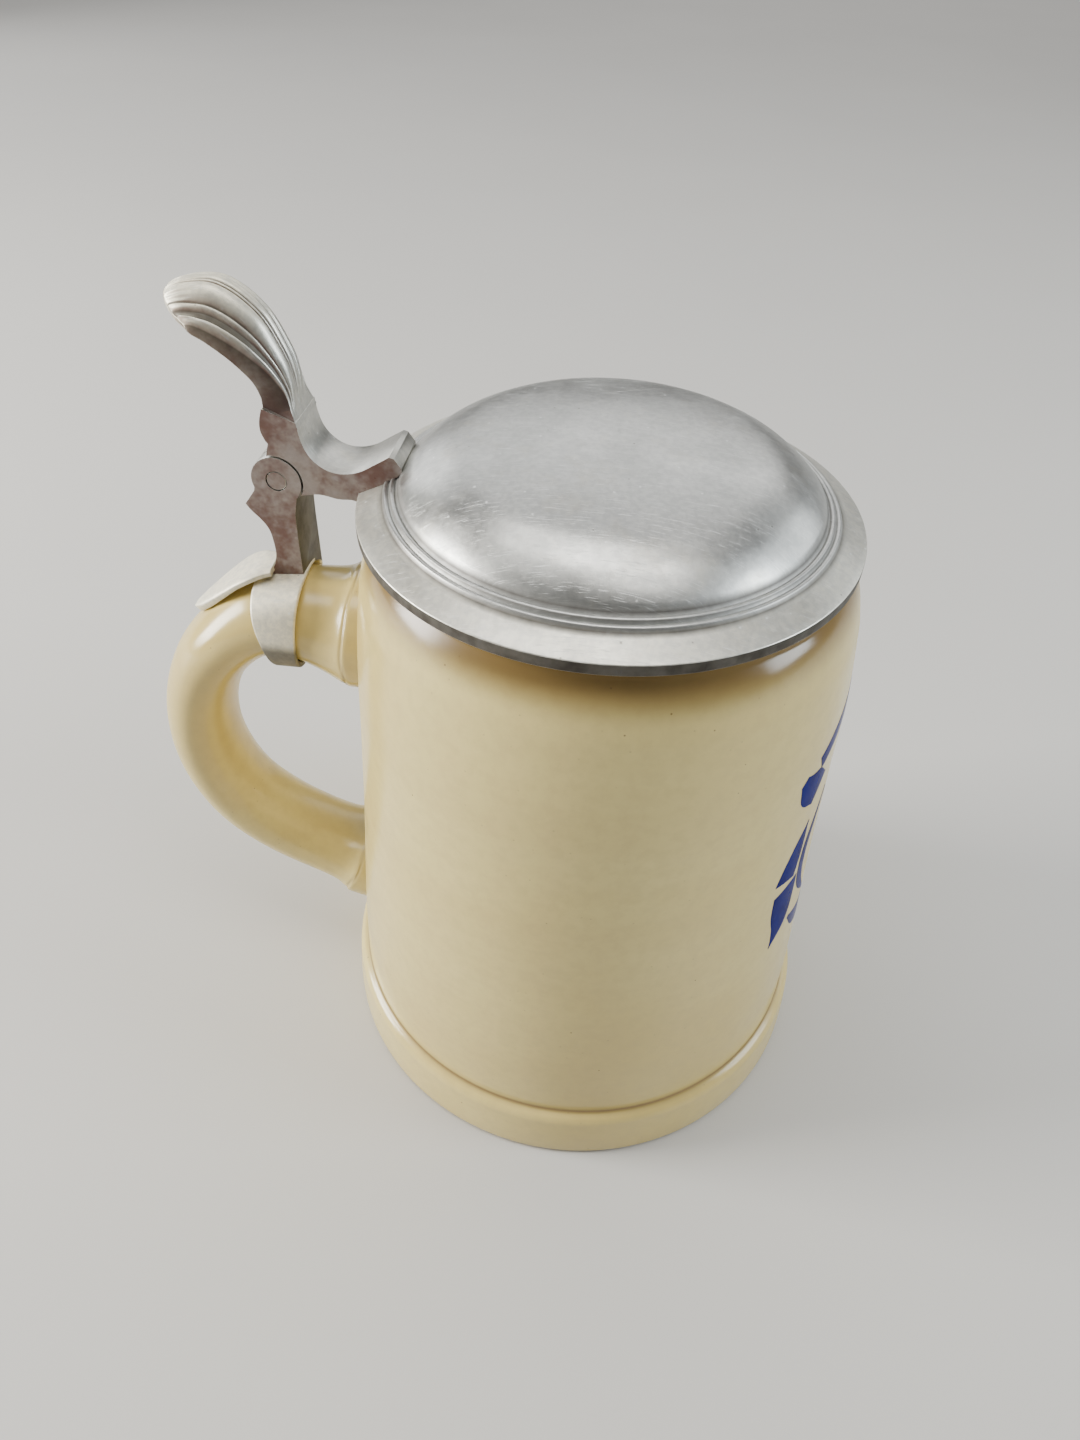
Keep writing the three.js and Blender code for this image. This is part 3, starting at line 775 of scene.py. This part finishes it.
def post():
    """The upright with two ears, cut to the strap at its foot."""
    outline = POST_FRONT + [(58.9, PIN_Z), (59.4, 122.4)] + smooth(POST_BACK, 0.5) + [(58.6, 98)]
    mesh = mesh_from("hinge_post_cast", *plate(outline, -HINGE_HALF, HINGE_HALF))
    obj = new_object("hinge_post_cast", mesh)
    carve(obj, "UNION", cross_bar(EAR_R, -HINGE_HALF, HINGE_HALF))
    carve(obj, "DIFFERENCE", cross_bar(POCKET_R, -SLOT_HALF, SLOT_HALF), cross_bar(BORE_R, -6, 6))
    for y0, y1 in ((PIN_HALF + 0.1, 6), (-6, -PIN_HALF - 0.1)):
        carve(obj, "DIFFERENCE", cross_bar(PLUG_R + 0.12, y0, y1))
    t = along_at(STRAP_U) + np.linspace(-9, 9, 8)[:, None] / handle_curve.length
    angle = np.linspace(0, 2 * math.pi, 64, endpoint=False)[None, :]
    carve(obj, "DIFFERENCE", tube(on_handle(np.cos(angle), np.sin(angle), t, GAP + 0.6)))
    rounded(obj, POST_BEVEL)
    # Painted shade: the face towards the wall, below the pin, is painted dark.
    painted_shade_faces = [float(f.normal.x > 0.8 and f.center.z < PIN_Z * MM) for f in obj.data.polygons]
    obj.data.attributes.new("hollow", "FLOAT", "FACE").data.foreach_set("value", painted_shade_faces)
    return obj


def plug(name, side):
    """The round end that closes the bore on one side, 1 or -1."""
    bar = cross_bar(PLUG_R, side * (PIN_HALF + GAP), side * (HINGE_HALF - 0.05))
    return rounded(new_object(name, mesh_from(name, *bar)), PLUG_BEVEL)


# ------------------------------------------------------------------ thumblift

lift_curve = Curve(LIFT_EDGE)
# Flutes, as (middle, half width, height); the shell reaches from -1 to 1 across.
FLUTES = [
    (0, 0.17, 0.62), (0.225, 0.04, 0.34), (0.485, 0.21, 0.60),
    (0.765, 0.045, 0.34), (0.945, 0.055, 0.34)]


def flute_height(s):
    x = np.abs(s)
    height = np.zeros_like(x)
    for middle, half, tall in FLUTES:
        inside = np.clip(1 - ((x - middle) / half) ** 2, 0, 1)
        height = np.maximum(height, tall * np.sqrt(inside))
    return height


def lift_front(s, t):
    """The height of the shell's front over its edge, at s across and t along."""
    dome = evenly(LIFT_CROWN, t) * (1 - np.abs(s) ** 2.4)
    return dome + flute_height(s) * smoothstep(t, 0.05, 0.35) * (1 - 0.5 * smoothstep(t, 0.9, 1))


def thumblift():
    """The fluted shell; its lip is uneven and rounds off over the last part of its length."""
    front = [(s, 1) for s in np.linspace(1, -1, 261)]
    back = [(s, 0) for s in np.linspace(-1, 1, 61)]
    ring = np.array(front + back)
    s, side = ring[:, 0][None, :], ring[:, 1][None, :]
    lip_t = 1 - (1 - LIFT_ROUNDS) * np.linspace(1, 0, 24) ** 2
    t = np.concatenate([np.linspace(0, LIFT_ROUNDS, 130)[:-1], lip_t])[:, None]
    edge, along = lift_curve.at(t[:, 0])[:, None, :], lift_curve.along(t[:, 0])[:, None, :]
    high = lift_front(s, t) + 0.16 * np.sin(19 * s + 1) * np.sin(47 * s) * smoothstep(t, 0.86, 0.97)
    low = 0.4 * lift_front(s, t) * smoothstep(t, 0.1, 0.6) - evenly(LIFT_WALL, t)
    lip = np.sqrt(1 - np.clip((t - LIFT_ROUNDS) / (1 - LIFT_ROUNDS), 0, 0.995) ** 2)
    rise = (high + low) / 2 + np.where(side > 0.5, 0.5, -0.5) * (high - low) * lip
    reach = LIFT_END * (1 - np.abs(s) ** 3) * t * t
    half = evenly(LIFT_HALF, t) * (0.94 + 0.06 * lip)
    x = -(edge[..., 0] - along[..., 1] * rise + along[..., 0] * reach)
    z = edge[..., 1] + along[..., 0] * rise + along[..., 1] * reach
    points, faces = tube(np.stack([x, -s * half, z], -1))
    between_flutes = np.where(side > 0.5, 0.8 * smoothstep(-flute_height(s), -0.2, 0), 0.35)
    hollow = between_flutes * smoothstep(t, 0.03, 0.2)
    # Towards its tip the shell is dulled and painted lighter cream, a painted highlight.
    matte = 0.8 * smoothstep(t, 0.35, 0.85) + 0 * s
    mesh = mesh_from("thumblift_shell", points, faces, hollow=hollow, matte=matte)
    return new_object("thumblift_shell", mesh)


# ------------------------------------------------------------------ pieces

place(stoneware_body(), "mug", "glazed_stoneware", GLAZE, "stoneware_body")
place(motif(), "mug", "glazed_stoneware", COBALT)
place(handle(), "mug", "glazed_stoneware", GLAZE, "handle")
place(strap(), "mug", "pewter", PEWTER, "handle_strap")
place(strap_leaf(), "mug", "pewter", PEWTER, "strap_tail")
place(post(), "mug", "pewter", CAST_PEWTER, "hinge_post")
place(plug("pin_plug_near", -1), "mug", "pewter", CAST_PEWTER, "pin_plug_front")
place(plug("pin_plug_far", 1), "mug", "pewter", CAST_PEWTER, "pin_plug_back")
place(lid(), "lid", "pewter", PEWTER, "lid")
place(tang(), "lid", "pewter", CAST_PEWTER, "lid_tang")
place(thumblift(), "lid", "pewter", CAST_PEWTER, "thumblift")
frame["nodes"]["hinge_pin"].data.materials.clear()
frame["nodes"]["hinge_pin"].data.materials.append(WIRE)

# ------------------------------------------------------------------ floor, camera and lights

FLOOR_HALF = 3
CAMERA_LENS, CAMERA_AT = 25.0, (5.774, -143.769, 208.236)
CAMERA_FORWARD, CAMERA_UP = (-0.08349, 0.73012, -0.67820), (-0.12387, 0.66769, 0.73406)


def floor():
    mesh = bpy.data.meshes.new("floor")
    corners = [(FLOOR_HALF * x, FLOOR_HALF * y, 0) for x, y in ((-1, -1), (1, -1), (1, 1), (-1, 1))]
    mesh.from_pydata(corners, [], [(0, 1, 2, 3)])
    obj = new_object("floor", mesh)
    obj.data.materials.append(floor_paint())


def camera():
    data = bpy.data.cameras.new("camera")
    data.sensor_width = 36
    data.lens = CAMERA_LENS
    data.clip_start, data.clip_end = 0.01, 20
    obj = bpy.data.objects.new("camera", data)
    bpy.context.scene.collection.objects.link(obj)
    forward = Vector(CAMERA_FORWARD).normalized()
    right = forward.cross(Vector(CAMERA_UP)).normalized()
    turn = Matrix((right, right.cross(forward), -forward)).transposed().to_4x4()
    obj.matrix_world = Matrix.Translation(Vector(CAMERA_AT) * MM) @ turn
    bpy.context.scene.camera = obj


def soft_light(name, place_at, look_at, size, power, colour=(1, 1, 1)):
    """A rectangular area light; its place and size are in metres."""
    data = bpy.data.lights.new(name, "AREA")
    data.shape = "RECTANGLE"
    data.size, data.size_y = size
    data.energy = power
    data.color = colour
    obj = bpy.data.objects.new(name, data)
    bpy.context.scene.collection.objects.link(obj)
    obj.location = place_at
    obj.rotation_mode = "QUATERNION"
    obj.rotation_quaternion = (Vector(look_at) - Vector(place_at)).to_track_quat("-Z", "Y")


def world():
    made = bpy.data.worlds.new("studio")
    made.use_nodes = True
    back = made.node_tree.nodes["Background"]
    back.inputs["Color"].default_value = (0.90, 0.90, 0.89, 1)
    back.inputs["Strength"].default_value = 0.10
    bpy.context.scene.world = made


floor()
camera()
world()
COOL = (0.97, 0.99, 1.0)
WARM = (1.0, 0.985, 0.95)
LEFT_WARM = (1.0, 0.98, 0.93)
MIDDLE = (0, 0, 0.1)
soft_light("overhead", (-0.03, -0.13, 0.90), (0, -0.02, 0.1), (0.95, 0.28), 5.4, WARM)
soft_light("ceiling", (0, 0.50, 1.0), (0, 0.1, 0.1), (1.2, 0.8), 2.6)
soft_light("left", (-0.90, -0.11, 0.34), (0, 0, 0.07), (0.35, 0.5), 19.0, LEFT_WARM)
soft_light("right", (0.85, -0.04, 0.42), (0, 0, 0.07), (0.35, 0.5), 6.2, (0.88, 0.95, 1.0))
soft_light("far", (-0.25, 1.1, 0.9), MIDDLE, (1.7, 1.0), 0.7, COOL)
soft_light("far_right", (0.95, 0.6, 0.45), MIDDLE, (0.5, 0.5), 2.2, (0.92, 0.97, 1.0))
soft_light("far_left", (-0.95, 0.85, 0.5), MIDDLE, (0.6, 0.6), 3.5)
soft_light("backdrop", (0, 2.0, 1.2), (0, 1.9, 0), (3.0, 1.2), 22.0)
